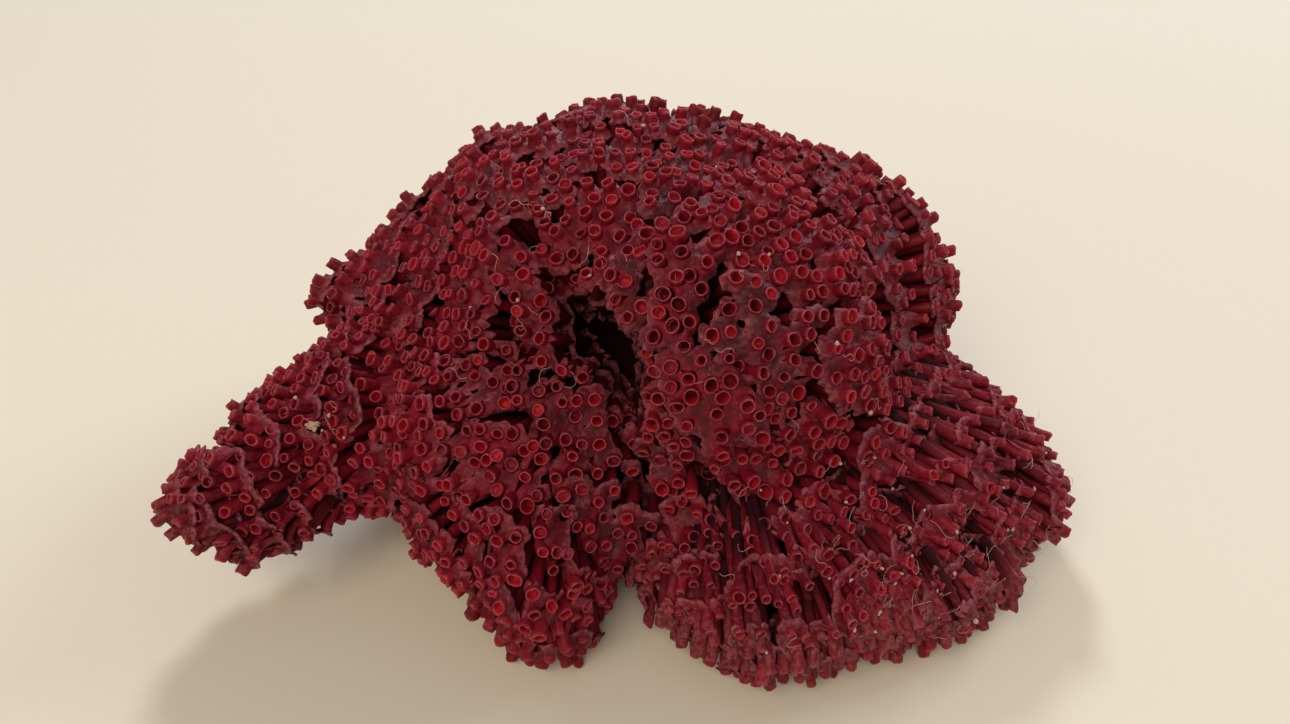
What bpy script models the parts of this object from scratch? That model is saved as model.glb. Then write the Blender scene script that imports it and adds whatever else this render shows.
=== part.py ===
"""Organ pipe coral: a broken, domed head of red stony tubes that fan out from one growth centre.

The colony is split at its main forks: the crown, the head that overhangs the front ravine, the
left lobe with its foot, the left arm, the right fan, the apron with its foot, the back lobe and
the broken base that all of them grow from. Every lobe is a sector of rays from the growth centre,
and its coarse pipes are fused to it, with a funnel for each open mouth.

Sizes are in millimetres in the tables and in metres in the scene.
"""

import math
import random
from collections import namedtuple

import bmesh
import bpy
import numpy as np
from mathutils import Matrix, Vector

MM = 0.001
GROWTH_CENTRE = np.array([0.0, 0.0, 25.0])

# A mass is an ellipsoid: centre, radii, turn about Z, tilt of its long axis (degrees).
Mass = namedtuple("Mass", "centre radii turn tilt")
LOBES = {
    "crown": [
        Mass((2.4, 9.2, 24.2), (41.0, 33.0, 34.0), 5, 4),
        Mass((-21.9, 11.1, 28.8), (23.8, 15.0, 15.4), 26, 7),
        Mass((29.6, 13.4, 27.6), (25.0, 19.5, 21.7), -3, 0),
        Mass((-37.6, 4.5, 30.2), (9.4, 7.0, 5.0), 0, 0),
    ],
    "front_head": [Mass((16.0, -12.0, 34.5), (23.0, 22.0, 22.5), 0, 0)],
    "front_left_lobe": [
        Mass((-14.9, -15.3, 21.3), (23.9, 20.5, 17.2), 0, 0),
        Mass((-10.2, -33.4, 11.4), (9.4, 12.2, 15.7), 0, 11),
        Mass((-20.2, -28.0, 14.2), (8.6, 9.0, 7.4), 0, 0),
    ],
    "left_arm": [
        Mass((-36.1, -10.9, 22.8), (37.6, 10.8, 11.9), 43, 10),
        Mass((-48.6, -24.6, 16.0), (16.0, 9.6, 7.5), 38, 8),
    ],
    "right_fan": [Mass((40.4, -13.6, 10.5), (26.7, 22.9, 16.7), -12, -6)],
    "front_apron": [
        Mass((25.2, -28.5, 8.7), (24.2, 20.2, 13.5), -7, -6),
        Mass((37.5, -26.0, 6.0), (21.0, 15.4, 10.5), -20, 0),
    ],
    "back_lobe": [Mass((2.0, 20.0, 12.0), (46.0, 26.0, 20.0), 0, 0)],
    "base": [Mass((2.4, 9.2, 24.2), (41.0, 33.0, 34.0), 5, 4)],
}
ARM_END = (-0.679, -0.579, -0.452)  # the arm is broken off flat, square to this
ARM_LENGTH = 54.0  # from the origin of the sizes above to the break
BASE_BELOW = math.radians(-14)  # the crown's own rays end here, and the base's begin
MASS_BLEND = 14  # the power of the smooth maximum of a lobe's masses
LUMP_HEIGHT = 1.6  # slow swellings of the surface
BOX_CENTRE = (3.004, -1.873)  # centre of the outline, which stands on the origin

# The ray mesh that every lobe is cut from.
RAY_SUBDIVISIONS = 3
LONGEST_EDGE = 8.6  # longer edges are halved, measured at the nearer end's reach
REFINING_PASSES = 2
BORDER_SMOOTHING = 3
CORE_REACH = 8.0  # the sectors' side walls end this near the growth centre
TIP_REACH = 3.0

# The slit between neighbouring lobes, and the ravine on the left of the head.
SLIT = 0.35
RAVINE_HALF_WIDTH = 2.7
RAVINE_SPREAD = math.radians(28)
RAVINE_RAY = (-0.17, -0.81, 0.57)

# Pipes.
PIPE_SIDES = 6
PIPE_RADIUS = (1.55, 2.05)
PIPE_STANDS_OUT = (1.0, 3.0)
PIPE_ROOT = 5.0
PIPE_CLEARANCE = 1.9  # between a pipe and the border of its lobe
FUNNEL_DEPTH = 2.6
PIPE_PITCH = 7.4
PIPE_TRIES = 9000
LOWEST_PIPE = 1.2
SEED = 41

# Each lobe's own red: deeper in the shade, browner where dust lies.
COLOURS = {
    "crown": (0.34, 0.022, 0.03),
    "front_head": (0.31, 0.02, 0.028),
    "front_left_lobe": (0.26, 0.018, 0.024),
    "left_arm": (0.24, 0.03, 0.034),
    "right_fan": (0.28, 0.02, 0.026),
    "front_apron": (0.25, 0.017, 0.022),
    "back_lobe": (0.27, 0.019, 0.025),
    "base": (0.17, 0.016, 0.02),
}
ROUGHNESS = 0.62


def mass_axes(mass):
    turn, tilt = math.radians(mass.turn), math.radians(mass.tilt)
    about_z = np.array(Matrix.Rotation(turn, 3, "Z"))
    about_y = np.array(Matrix.Rotation(-tilt, 3, "Y"))
    return about_z @ about_y


def mass_reach(mass, rays):
    """How far each ray from the growth centre runs before it leaves the mass, and whether it meets it."""
    axes = mass_axes(mass)
    start = ((GROWTH_CENTRE - np.array(mass.centre)) @ axes) / np.array(mass.radii)
    step = (rays @ axes) / np.array(mass.radii)
    a = (step * step).sum(1)
    b = step @ start
    inside = b * b - a * (start @ start - 1)
    far = (-b + np.sqrt(np.maximum(inside, 0))) / a
    return np.maximum(far, 0), (inside > 0) & (far > 0)


def lumps(rays):
    """Slow swellings, from a few crossing waves."""
    x, y, z = rays.T
    waves = np.sin(9.1 * x + 2.3 * y + 0.7) + np.sin(8.3 * y - 3.9 * z + 2.1)
    return LUMP_HEIGHT * 0.5 * (waves + np.sin(7.7 * z + 4.4 * x + 4.0))


def lobe_reach(name, rays):
    """A lobe's own surface, carried on smoothly past its border."""
    total = sum(mass_reach(mass, rays)[0] ** MASS_BLEND for mass in LOBES[name])
    return total ** (1 / MASS_BLEND) + lumps(rays)


def up_to_break(name, rays, reach):
    """The arm's rays end at its flat break."""
    if name != "left_arm":
        return reach
    along = np.maximum(rays @ np.array(ARM_END), 0.001)
    return np.minimum(reach, (ARM_LENGTH - GROWTH_CENTRE @ np.array(ARM_END)) / along)


def owners(rays):
    """The name of the lobe that reaches furthest along each ray."""
    names = list(LOBES)
    reaches = []
    for name in names:
        found = np.zeros(len(rays))
        for mass in LOBES[name]:
            far, met = mass_reach(mass, rays)
            found = np.maximum(found, np.where(met, up_to_break(name, rays, far), 0))
        reaches.append(found)
    elevation = np.arcsin(np.clip(rays[:, 2], -1, 1))
    reaches[names.index("crown")][elevation < BASE_BELOW] = 0
    reaches[names.index("base")][elevation >= BASE_BELOW] = 0
    return np.array(names)[np.argmax(reaches, axis=0)]


def rays_of(vertices):
    rays = np.array([v.co[:] for v in vertices], float)
    return rays / np.linalg.norm(rays, axis=1, keepdims=True)


def outer_reach(rays):
    own = owners(rays)
    reach = np.zeros(len(rays))
    for name in LOBES:
        chosen = own == name
        if chosen.any():
            reach[chosen] = up_to_break(name, rays[chosen], lobe_reach(name, rays[chosen]))
    return reach


def ray_mesh():
    """A ball of rays, with more of them where the coral reaches far."""
    mesh = bmesh.new()
    bmesh.ops.create_icosphere(mesh, subdivisions=RAY_SUBDIVISIONS, radius=1)
    for _ in range(REFINING_PASSES):
        mesh.verts.ensure_lookup_table()
        mesh.verts.index_update()
        points = rays_of(mesh.verts)
        points = points * outer_reach(points)[:, None]
        long_edges = []
        for edge in mesh.edges:
            a, b = (points[v.index] for v in edge.verts)
            across = np.linalg.norm(a / np.linalg.norm(a) - b / np.linalg.norm(b))
            if across * min(np.linalg.norm(a), np.linalg.norm(b)) > LONGEST_EDGE:
                long_edges.append(edge)
        bmesh.ops.subdivide_edges(mesh, edges=long_edges, cuts=1)
        bmesh.ops.triangulate(mesh, faces=mesh.faces[:])
        for vertex in mesh.verts:
            vertex.co.normalize()
    bmesh.ops.recalc_face_normals(mesh, faces=mesh.faces[:])
    return mesh


def mark_owners(mesh):
    """Stores each face's lobe, and gives a lone face to the neighbour that it shares most edges with."""
    names = list(LOBES)
    layer = mesh.faces.layers.int.new("lobe")
    centres = np.array([f.calc_center_median()[:] for f in mesh.faces], float)
    centres /= np.linalg.norm(centres, axis=1, keepdims=True)
    for face, name in zip(mesh.faces, owners(centres)):
        face[layer] = names.index(name)
    for _ in range(3):
        for face in mesh.faces:
            around = [f[layer] for e in face.edges for f in e.link_faces if f is not face]
            if around.count(face[layer]) <= 1:
                face[layer] = max(around, key=around.count)
    keep_largest_patches(mesh, layer)
    return layer


def keep_largest_patches(mesh, layer):
    """A lobe is one patch: any smaller island of its faces goes to the lobe around it."""
    for lobe in range(len(LOBES)):
        islands, seen = [], set()
        for first in mesh.faces:
            if first[layer] != lobe or first in seen:
                continue
            island, edge_of_island = [], [first]
            seen.add(first)
            while edge_of_island:
                face = edge_of_island.pop()
                island.append(face)
                for other in (f for e in face.edges for f in e.link_faces):
                    if other[layer] == lobe and other not in seen:
                        seen.add(other)
                        edge_of_island.append(other)
            islands.append(island)
        islands.sort(key=len)
        for island in islands[:-1]:
            around = [
                f[layer] for face in island for e in face.edges for f in e.link_faces
                if f[layer] != lobe
            ]
            for face in island:
                face[layer] = max(around, key=around.count)


def smooth_borders(mesh, layer):
    """Draws the zigzag borders between lobes out into curves."""
    for _ in range(BORDER_SMOOTHING):
        moved = {}
        for vertex in mesh.verts:
            border = [e for e in vertex.link_edges if len({f[layer] for f in e.link_faces}) > 1]
            if len(border) == 2:
                ends = sum((e.other_vert(vertex).co for e in border), Vector()) / 2
                moved[vertex] = vertex.co.lerp(ends, 0.5).normalized()
        for vertex, place in moved.items():
            vertex.co = place


def slit_at(ray):
    """Half the gap between two lobes on this ray: a slit, or the ravine beside the head."""
    apart = ray.angle(Vector(RAVINE_RAY))
    return SLIT + RAVINE_HALF_WIDTH * math.exp(-((apart / RAVINE_SPREAD) ** 2) * 2)


def inward_pull(mesh, directions):
    """How far each vertex on the patch's border is drawn in, to leave a gap beside the next lobe."""
    pull = {}
    for vertex in (v for v in mesh.verts if v.is_boundary):
        inward = Vector()
        for edge in (e for e in vertex.link_edges if e.is_boundary):
            along = (edge.verts[1].co - edge.verts[0].co).normalized()
            side = along.cross(directions[vertex]).normalized()
            if side.dot(edge.link_faces[0].calc_center_median() - vertex.co) < 0:
                side = -side
            inward += side
        pull[vertex] = inward.normalized() * slit_at(directions[vertex])
    return pull


def add_side_walls(mesh, directions, pull):
    """Closes the patch with walls that run in along its border's rays, almost to the growth centre."""
    centre = Vector(GROWTH_CENTRE)
    border = [e for e in mesh.edges if e.is_boundary]
    inner = bmesh.ops.extrude_edge_only(mesh, edges=border)["geom"]
    outer_of = {}
    for vertex in (g for g in inner if isinstance(g, bmesh.types.BMVert)):
        outer_of[vertex] = next(
            e.other_vert(vertex) for e in vertex.link_edges if e.other_vert(vertex) in pull
        )
    for vertex, outer in outer_of.items():
        vertex.co = centre + directions[outer] * CORE_REACH + pull[outer]
    for vertex, inward in pull.items():
        vertex.co += inward
    rim = [e for e in mesh.edges if e.is_boundary]
    tip = mesh.verts.new(centre + sum(directions.values(), Vector()).normalized() * TIP_REACH)
    for edge in rim:
        mesh.faces.new((*edge.verts, tip))


def lobe_solid(rays, name):
    """The lobe's patch of rays out at its surface, closed by side walls."""
    mesh = rays.copy()
    layer = mesh.faces.layers.int["lobe"]
    others = [f for f in mesh.faces if f[layer] != list(LOBES).index(name)]
    bmesh.ops.delete(mesh, geom=others, context="FACES")
    directions = {v: v.co.normalized() for v in mesh.verts}
    pull = inward_pull(mesh, directions)
    reaches = lobe_reach(name, rays_of(mesh.verts))
    for vertex, reach in zip(mesh.verts, reaches):
        vertex.co = Vector(GROWTH_CENTRE) + directions[vertex] * reach
    add_side_walls(mesh, directions, pull)
    bmesh.ops.recalc_face_normals(mesh, faces=mesh.faces[:])
    return mesh


def cut_flat(mesh, point, away):
    """Breaks the solid off flat at the point, with nothing left on the side that away points to."""
    cut = bmesh.ops.bisect_plane(
        mesh, geom=mesh.verts[:] + mesh.edges[:] + mesh.faces[:],
        plane_co=point, plane_no=away, clear_outer=True,
    )
    rim = [g for g in cut["geom_cut"] if isinstance(g, bmesh.types.BMEdge)]
    if rim:
        bmesh.ops.holes_fill(mesh, edges=rim)
    bmesh.ops.triangulate(mesh, faces=mesh.faces[:])


def object_from(name, mesh, collection):
    """Moves the mesh onto the row's origin, in metres, and makes it an object."""
    bmesh.ops.translate(mesh, verts=mesh.verts, vec=(-BOX_CENTRE[0], -BOX_CENTRE[1], 0))
    bmesh.ops.scale(mesh, verts=mesh.verts, vec=(MM, MM, MM))
    data = bpy.data.meshes.new(name)
    mesh.to_mesh(data)
    mesh.free()
    obj = bpy.data.objects.new(name, data)
    collection.objects.link(obj)
    return obj


def pipe_places(dice):
    """Rays for the pipes of each lobe: a loose packing that keeps off the borders and the floor."""
    places = {name: [] for name in LOBES}
    taken = []
    tries = np.array([[dice.gauss(0, 1) for _ in range(3)] for _ in range(PIPE_TRIES)])
    tries /= np.linalg.norm(tries, axis=1, keepdims=True)
    own = owners(tries)
    clear = np.ones(len(tries), bool)
    reach = outer_reach(tries)
    side = np.cross(tries, (0.31, 0.52, 0.79))
    side /= np.linalg.norm(side, axis=1, keepdims=True)
    other = np.cross(tries, side)
    for k in range(8):
        turn = 2 * math.pi * k / 8
        offset = side * math.cos(turn) + other * math.sin(turn)
        room = PIPE_RADIUS[1] + PIPE_CLEARANCE
        nearby = tries * (reach - PIPE_ROOT)[:, None] + offset * room
        nearby /= np.linalg.norm(nearby, axis=1, keepdims=True)
        clear &= owners(nearby) == own
    tips = GROWTH_CENTRE + tries * (reach + PIPE_STANDS_OUT[1])[:, None]
    roots = GROWTH_CENTRE + tries * reach[:, None]
    clear &= tips[:, 2] - PIPE_RADIUS[1] * np.hypot(tries[:, 0], tries[:, 1]) > LOWEST_PIPE
    for i in np.flatnonzero(clear):
        if all(np.linalg.norm(roots[i] - place) > PIPE_PITCH for place in taken):
            taken.append(roots[i])
            places[str(own[i])].append((Vector(tries[i]), float(reach[i])))
    return places


def pipes(places, dice):
    """Hexagonal pipes on the given rays, each with a funnel for its mouth."""
    mesh = bmesh.new()
    for ray, reach in places:
        radius = dice.uniform(*PIPE_RADIUS)
        top = reach + dice.uniform(*PIPE_STANDS_OUT)
        length = top - (reach - PIPE_ROOT)
        made = bmesh.ops.create_cone(
            mesh, cap_ends=True, segments=PIPE_SIDES, radius1=radius * 0.85, radius2=radius,
            depth=length,
        )["verts"]
        mouth = max({f for v in made for f in v.link_faces}, key=lambda f: f.calc_center_median().z)
        poked = bmesh.ops.poke(mesh, faces=[mouth])["verts"][0]
        poked.co.z -= FUNNEL_DEPTH
        turn = ray.to_track_quat("Z", "Y").to_matrix().to_4x4()
        place = Matrix.Translation(Vector(GROWTH_CENTRE) + ray * (top - length / 2)) @ turn
        place = place @ Matrix.Rotation(dice.uniform(0, 1), 4, "Z")
        bmesh.ops.transform(mesh, matrix=place, verts=made + [poked])
    bmesh.ops.recalc_face_normals(mesh, faces=mesh.faces[:])
    return mesh


def coral_material(name):
    material = bpy.data.materials.new("coral_" + name)
    material.use_nodes = True
    shader = material.node_tree.nodes["Principled BSDF"]
    shader.inputs["Base Color"].default_value = (*COLOURS[name], 1)
    shader.inputs["Roughness"].default_value = ROUGHNESS
    shader.inputs["Metallic"].default_value = 0.0
    return material


def collection_named(name):
    collection = bpy.data.collections.new(name)
    bpy.context.scene.collection.children.link(collection)
    return collection


def main():
    for obj in list(bpy.data.objects):
        bpy.data.objects.remove(obj)
    dice = random.Random(SEED)
    coral = collection_named("organ_pipe_coral")
    helpers = collection_named("pipes_to_join")
    rays = ray_mesh()
    layer = mark_owners(rays)
    smooth_borders(rays, layer)
    places = pipe_places(dice)
    for name in LOBES:
        solid = lobe_solid(rays, name)
        cut_flat(solid, (0, 0, 0), (0, 0, -1))
        if name == "left_arm":
            cut_flat(solid, Vector(ARM_END) * ARM_LENGTH, ARM_END)
        lobe = object_from(name, solid, coral)
        lobe.data.materials.append(coral_material(name))
        if places[name]:
            bundle = object_from(name + "_pipes", pipes(places[name], dice), helpers)
            bundle.hide_render = True
            bundle.display_type = "WIRE"
            join = lobe.modifiers.new("pipes", "BOOLEAN")
            join.operation = "UNION"
            join.object = bundle
    rays.free()


main()
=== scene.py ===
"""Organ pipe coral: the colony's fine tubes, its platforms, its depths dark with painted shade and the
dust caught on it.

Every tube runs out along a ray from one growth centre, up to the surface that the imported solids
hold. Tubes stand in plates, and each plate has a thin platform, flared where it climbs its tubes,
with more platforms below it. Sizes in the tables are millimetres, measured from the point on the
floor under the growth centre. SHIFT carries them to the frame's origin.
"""

import math
from collections import namedtuple

import bmesh
import bpy
import numpy as np
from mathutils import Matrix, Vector

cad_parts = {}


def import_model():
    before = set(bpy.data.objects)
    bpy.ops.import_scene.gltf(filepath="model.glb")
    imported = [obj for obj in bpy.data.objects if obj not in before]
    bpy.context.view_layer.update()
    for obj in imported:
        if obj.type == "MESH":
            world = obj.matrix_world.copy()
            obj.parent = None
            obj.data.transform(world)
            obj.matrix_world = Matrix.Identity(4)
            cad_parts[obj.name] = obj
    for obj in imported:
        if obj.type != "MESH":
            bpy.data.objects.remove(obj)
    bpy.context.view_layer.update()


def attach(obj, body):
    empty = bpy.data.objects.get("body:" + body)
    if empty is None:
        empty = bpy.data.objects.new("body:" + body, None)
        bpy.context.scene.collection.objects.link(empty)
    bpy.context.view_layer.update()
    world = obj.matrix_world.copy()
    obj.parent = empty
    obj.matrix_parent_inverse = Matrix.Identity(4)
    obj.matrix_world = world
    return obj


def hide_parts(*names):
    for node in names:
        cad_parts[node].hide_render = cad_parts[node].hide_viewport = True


MM = 0.001
SHIFT = np.array([-3.004, 1.873, 0.0])
GROWTH_CENTRE = np.array([0.0, 0.0, 25.0])

# The outer form, as in the solids: ellipsoid masses (centre, radii, turn about Z, tilt in degrees).
Mass = namedtuple("Mass", "centre radii turn tilt")
LOBES = {
    "crown": [
        Mass((2.4, 9.2, 24.2), (41.0, 33.0, 34.0), 5, 4),
        Mass((-21.9, 11.1, 28.8), (23.8, 15.0, 15.4), 26, 7),
        Mass((29.6, 13.4, 27.6), (25.0, 19.5, 21.7), -3, 0),
        Mass((-37.6, 4.5, 30.2), (9.4, 7.0, 5.0), 0, 0),
    ],
    "front_head": [Mass((16.0, -12.0, 34.5), (23.0, 22.0, 22.5), 0, 0)],
    "front_left_lobe": [
        Mass((-14.9, -15.3, 21.3), (23.9, 20.5, 17.2), 0, 0),
        Mass((-10.2, -33.4, 11.4), (9.4, 12.2, 15.7), 0, 11),
        Mass((-20.2, -28.0, 14.2), (8.6, 9.0, 7.4), 0, 0),
    ],
    "left_arm": [
        Mass((-36.1, -10.9, 22.8), (37.6, 10.8, 11.9), 43, 10),
        Mass((-48.6, -24.6, 16.0), (16.0, 9.6, 7.5), 38, 8),
    ],
    "right_fan": [Mass((40.4, -13.6, 10.5), (26.7, 22.9, 16.7), -12, -6)],
    "front_apron": [
        Mass((25.2, -28.5, 8.7), (24.2, 20.2, 13.5), -7, -6),
        Mass((37.5, -26.0, 6.0), (21.0, 15.4, 10.5), -20, 0),
    ],
    "back_lobe": [Mass((2.0, 20.0, 12.0), (46.0, 26.0, 20.0), 0, 0)],
    "base": [],
}
NAMES = list(LOBES)
# The arm ends in a flat break: the way that faces, and how far out it lies. Rays below an angle
# belong to the base. A lobe's masses blend by a high power, which keeps their creases sharp.
ARM_END = np.array([-0.679, -0.579, -0.452])
ARM_LENGTH = 54.0
ARM_ALONG = (-0.78, -0.60, -0.10)
BASE_BELOW = math.sin(math.radians(-14))
MASS_BLEND = 14
LUMP_HEIGHT = 1.6
# How far round a ray its surface is averaged, and the step in rays that its normal is taken over.
SOFTNESS = 6.0
NORMAL_STEP = 0.03

# Crevices that run down between the lobes: rays, half-widths and depths along each.
Bend = namedtuple("Bend", "ray width depth")
CREVICES = [
    [
        Bend((-0.37, -0.46, 0.81), 1.6, 7),
        Bend((-0.27, -0.61, 0.75), 2.6, 12),
        Bend((-0.16, -0.74, 0.66), 4.4, 18),
        Bend((-0.09, -0.80, 0.59), 4.0, 18),
        Bend((0.0, -0.87, 0.50), 4.4, 19),
        Bend((0.04, -0.92, 0.39), 3.0, 16),
        Bend((0.06, -0.96, 0.26), 2.2, 12),
        Bend((0.04, -0.99, 0.10), 1.6, 8),
    ],
    [Bend((-0.57, -0.49, 0.66), 1.8, 8), Bend((-0.45, -0.75, 0.49), 2.0, 9)],
    [Bend((0.29, -0.31, 0.91), 1.6, 6), Bend((0.40, -0.20, 0.89), 1.4, 4)],
    [Bend((0.31, -0.95, 0.06), 2.2, 9), Bend((0.42, -0.90, -0.08), 1.8, 7)],
]
# Tubes grow down to the first depth, a share of them grow on ledges down to the second, and the
# rest of a crevice stays bare and dark: real shadow over the depths shell's painted shade.
DARK_DEPTH = 2.5
LEDGE_DEPTH = 10.0
LEDGE_SHARE = 0.3

# How each lobe grows: the pitch of its tubes, how far they lean to the surface's normal, how much of
# a slope or cliff they crowd (0 leaves long pipes bare), the width of the web round each, the heights
# its plates keep to, the share of tubes missing between plates, its dust, its tubes' radius, how far
# its pipes turn down at the foot, and the point that the lower parts of its pipes come from.
Habit = namedtuple("Habit", "pitch lean crowd web low high missing dust radius drop source")
MIDDLE = (0, 0, 0)
FAN_SOURCE = (14, -2, 19)
HABITS = {
    "crown": Habit(2.75, 0.5, 0.9, 0.66, 0.5, 1.8, 0.08, 0.05, 0.94, 0.0, MIDDLE),
    "front_head": Habit(2.75, 0.55, 0.9, 0.66, -1.0, 1.8, 0.3, 0.09, 0.98, 0.0, MIDDLE),
    "front_left_lobe": Habit(2.55, 0.6, 0.9, 0.52, -1.4, 1.7, 0.3, 0.06, 0.91, 0.75, MIDDLE),
    "left_arm": Habit(2.45, 0.68, 1.0, 0.6, -0.4, 1.4, 0.12, 0.12, 0.85, 0.0, MIDDLE),
    "right_fan": Habit(2.1, 0.14, 0.3, 0.36, -0.4, 1.6, 0.1, 0.12, 0.83, 0.4, FAN_SOURCE),
    "front_apron": Habit(2.12, 0.36, 0.95, 0.42, -1.4, 1.6, 0.22, 0.14, 0.80, 0.75, FAN_SOURCE),
    "back_lobe": Habit(3.1, 0.5, 0.8, 0.75, -0.6, 1.9, 0.3, 0.08, 0.95, 0.3, MIDDLE),
    "base": Habit(4.2, 0.0, 0.0, 0.7, 0.0, 0.0, 0.2, 0.15, 0.95, 0.0, MIDDLE),
}

# Tubes.
TUBE_WALL = 0.24
TUBE_SIDES = 10
TUBE_TRIES = 80000
SHORTEST_TUBE = 8.0
TIP_JITTER = 0.6
FLOOR_GAP = 0.05
PITCH_SPREAD = (0.72, 1.15)
# How deep a mouth's floor lies. Some are shallow.
SHALLOW_SHARE = 0.35
SHALLOW_CUP = (0.5, 1.2)
DEEP_CUP = (1.8, 4.2)
# The arm is narrow as seen from the growth centre, so it gets tries of its own.
ARM_TRIES = 30000
ARM_SPREAD = 0.2
# A cliff is where the surface drops by more than this within a short reach.
WALL_TRIES = 26000
WALL_REACH = 3.0
WALL_HEIGHT = 4.0
# Below its tip a tube turns from its lean to the way of its stem over this length.
TURN_LENGTH = 8.0
# Below these heights pipes turn down to the floor, and crowd even on a steep slope.
FOOT_HEIGHT = 15.0
LEDGE_HEIGHT = 18.0

# Plates and their platforms. Tubes stand out of a platform by this much, and the next is a tier below.
PLATE_SPACING = 10.5
PLATE_TILT = 0.12
PLATE_GAP = 1.3
STANDS_OUT = (0.9, 2.3)
SHEET_THICKNESS = 0.36
SHEET_STEP = 0.7
LOWER_STEP = 1.05
TIER = 6.4
FEWEST_BELOW = 3
LOWEST_TIER = 5
TOP_FLARE = (0.2, 1.7)
LOWER_FLARE = 0.45

# A shell deep between the pipes, darkened with painted shade.
DEPTH_BELOW_TIPS = 9.5

# Debris: a pale lump made of bits (offset, radii), and tangles of threads (centre, how many of the
# nearest tips they may start from, threads).
THREAD_RADIUS = 0.032
THREAD_STEPS = 14
THREAD_SIDES = 5
THREAD_LENGTH = (1.8, 5.4)
CRUMB_SHARE = 0.45
PALE_LUMP = (-41.1, -26.0, 29.5)
PALE_BITS = [
    ((-0.4, 0.0, 0.0), (0.85, 0.5, 0.45)),
    ((0.35, 0.2, 0.1), (0.6, 0.45, 0.4)),
    ((0.2, -0.45, -0.15), (0.45, 0.4, 0.3)),
    ((-0.9, 0.35, -0.1), (0.35, 0.3, 0.25)),
]
TANGLES = [
    ((30, -40, 13), 60, 18),
    ((40, -36, 13), 60, 30),
    ((52, -28, 13), 60, 26),
    ((60, -18, 14), 40, 10),
    ((16, -30, 44), 60, 10),
    ((-12, -24, 40), 50, 10),
    ((-41, -26, 29), 12, 5),
    ((-4, -14, 50), 50, 8),
    ((28, -30, 30), 60, 8),
    ((22, -38, 12), 60, 8),
    ((4, 0, 56), 300, 8),
]

# Colours, linear.
TUBE_RED = (0.188, 0.0060, 0.0165)
SHEET_RED = (0.034, 0.0080, 0.0126)
# Painted shade: the colour that the surface darkens towards with depth below the tips.
PAINTED_SHADE_RED = (0.012, 0.0009, 0.0032)
# Painted glow inside some mouths, as if lit through the thin walls.
MOUTH_PAINTED_GLOW = (0.42, 0.009, 0.020)
# Rim colour: partly a paler rim, partly a painted highlight.
RIM_PINK_AND_HIGHLIGHT = (0.50, 0.110, 0.145)
DUST = (0.24, 0.135, 0.125)
SEED = 20


def unit(vectors):
    """The same ways, each one unit long."""
    vectors = np.asarray(vectors, float)
    return vectors / np.linalg.norm(vectors, axis=-1, keepdims=True)


def mass_axes(mass):
    """The mass's own axes, as columns."""
    turn, tilt = math.radians(mass.turn), math.radians(mass.tilt)
    about_z = np.array([
        [math.cos(turn), -math.sin(turn), 0],
        [math.sin(turn), math.cos(turn), 0],
        [0, 0, 1],
    ])
    about_y = np.array([
        [math.cos(tilt), 0, -math.sin(tilt)],
        [0, 1, 0],
        [math.sin(tilt), 0, math.cos(tilt)],
    ])
    return about_z @ about_y


def mass_reach(mass, rays):
    """How far each ray runs before it leaves the mass, or 0 where it misses it."""
    axes = mass_axes(mass)
    start = ((GROWTH_CENTRE - np.array(mass.centre)) @ axes) / np.array(mass.radii)
    step = (rays @ axes) / np.array(mass.radii)
    a = (step * step).sum(1)
    b = step @ start
    inside = b * b - a * (start @ start - 1)
    far = (-b + np.sqrt(np.maximum(inside, 0))) / a
    return np.where(inside > 0, np.maximum(far, 0), 0)


def lumps(rays):
    """Slow swellings, from a few crossing waves."""
    x, y, z = rays.T
    waves = np.sin(9.1 * x + 2.3 * y + 0.7) + np.sin(8.3 * y - 3.9 * z + 2.1)
    return LUMP_HEIGHT * 0.5 * (waves + np.sin(7.7 * z + 4.4 * x + 4.0))


def form(rays):
    """The colony's surface along each ray, and the number of the lobe that makes it."""
    reach = np.zeros(len(rays))
    lobe = np.zeros(len(rays), int)
    for number, name in enumerate(NAMES):
        total = sum((mass_reach(mass, rays) ** MASS_BLEND for mass in LOBES[name]), np.zeros(len(rays)))
        far = total ** (1 / MASS_BLEND)
        if name == "left_arm":
            along = np.maximum(rays @ ARM_END, 0.001)
            far = np.minimum(far, (ARM_LENGTH - GROWTH_CENTRE @ ARM_END) / along)
        lobe[far > reach] = number
        reach = np.maximum(reach, far)
    below = (lobe == NAMES.index("crown")) & (rays[:, 2] < BASE_BELOW)
    lobe[below] = NAMES.index("base")
    return reach + lumps(rays), lobe


def soft_form(rays):
    """The form with the feet of its cliffs filled out, by an average over a small patch."""
    reach, lobe = form(rays)
    first, second = across(rays)
    total = reach * 1.5
    weight = 1.5
    for distance, points in ((SOFTNESS * 0.5, 6), (SOFTNESS, 8)):
        for k in range(points):
            side = sideways(first, second, 2 * math.pi * (k + distance) / points)
            total += form(unit(rays * reach[:, None] + side * distance))[0]
            weight += 1
    return np.maximum(reach, total / weight), lobe


def crevice_depth(rays, reach):
    """How far the crevices sink the surface along each ray."""
    sunk = np.zeros(len(rays))
    for crevice in CREVICES:
        for start, end in zip(crevice, crevice[1:]):
            a, b = unit(start.ray), unit(end.ray)
            t = np.clip(((rays - a) @ (b - a)) / ((b - a) @ (b - a)), 0, 1)
            nearest = unit(a + t[:, None] * (b - a))
            apart = np.linalg.norm(rays - nearest, axis=1) * reach
            width = start.width + t * (end.width - start.width)
            depth = start.depth + t * (end.depth - start.depth)
            near = np.clip((1.15 * width - apart) / (0.35 * width), 0, 1)
            sunk = np.maximum(sunk, depth * near * near * (3 - 2 * near))
    return sunk


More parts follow.
